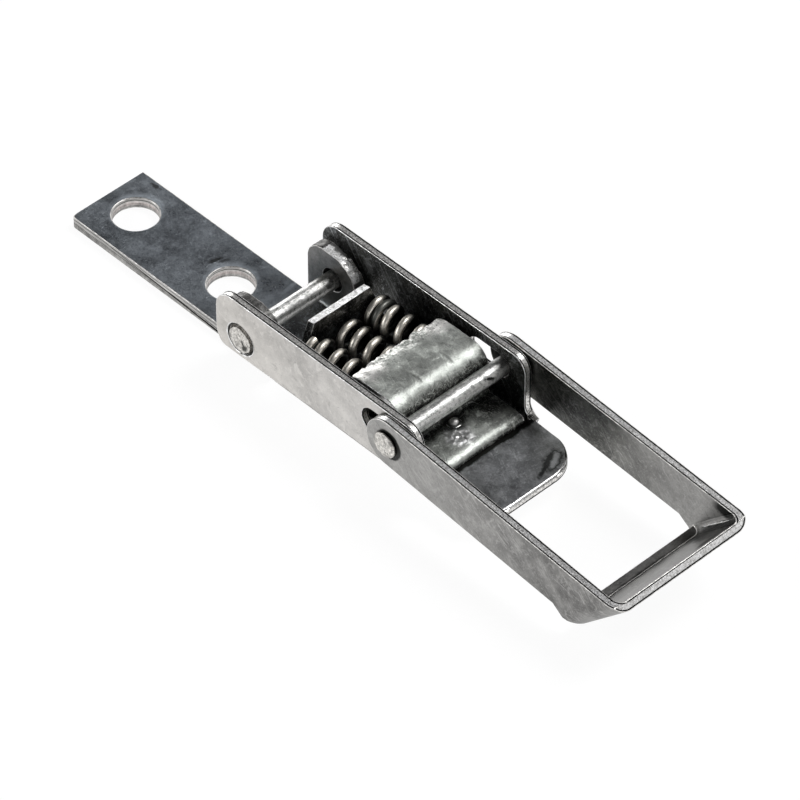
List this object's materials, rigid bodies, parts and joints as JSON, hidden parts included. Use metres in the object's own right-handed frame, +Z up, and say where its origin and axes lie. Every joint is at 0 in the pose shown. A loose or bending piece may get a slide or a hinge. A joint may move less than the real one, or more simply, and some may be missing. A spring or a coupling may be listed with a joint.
{
  "type": "toggle latch",
  "caption": "Spring-loaded over centre toggle latch of folded plain steel: drilled base strip, channel lever with thumb tab, three coil springs on a sliding saddle, and a swinging hook bail.",
  "frame": {"origin": "middle of the two mounting holes, on the underside of the base", "axes": "+X along the base from its free end towards the hook, +Y to the left looking along +X, +Z up out of the mounting surface"},
  "size_m": [0.0858, 0.0194, 0.0108],
  "materials": {
    "base_steel": "plain cold-rolled steel, dull blue-grey and mottled",
    "lever_steel": "plain steel, fine speckle, bright sheared edges",
    "pin_steel": "drawn bright wire, riveted ends",
    "saddle_steel": "plain steel, greenish grey, mottled, bright at the folds",
    "bail_steel": "plain steel with fine crossed scratches",
    "spring_steel": "dark oiled spring wire"
  },
  "bodies": {
    "base": {"base_plate": "base_steel"},
    "lever": {"lever": "lever_steel", "pivot_pin": "pin_steel", "spring_near": "spring_steel", "spring_middle": "spring_steel", "spring_far": "spring_steel"},
    "slider": {"saddle": "saddle_steel", "bail_pin": "pin_steel"},
    "bail": {"bail": "bail_steel"}
  },
  "joints": [
    {"name": "lever_pivot", "type": "hinge", "parent": "base", "child": "lever", "pos_m": [0.01775, 0, 0.0057], "axis": [0, -1, 0], "range_deg": [-3.9, 177]},
    {"name": "spring_slide", "type": "slide", "parent": "lever", "child": "slider", "axis": [-1, 0, 0], "range_m": [0, 0.0038], "stiffness_N_per_m": 60000, "deforming": ["spring_near", "spring_middle", "spring_far"]},
    {"name": "bail_pivot", "type": "hinge", "parent": "slider", "child": "bail", "pos_m": [0.0408, 0, 0.0079], "axis": [0, -1, 0], "range_deg": [-144, 186]}
  ]
}
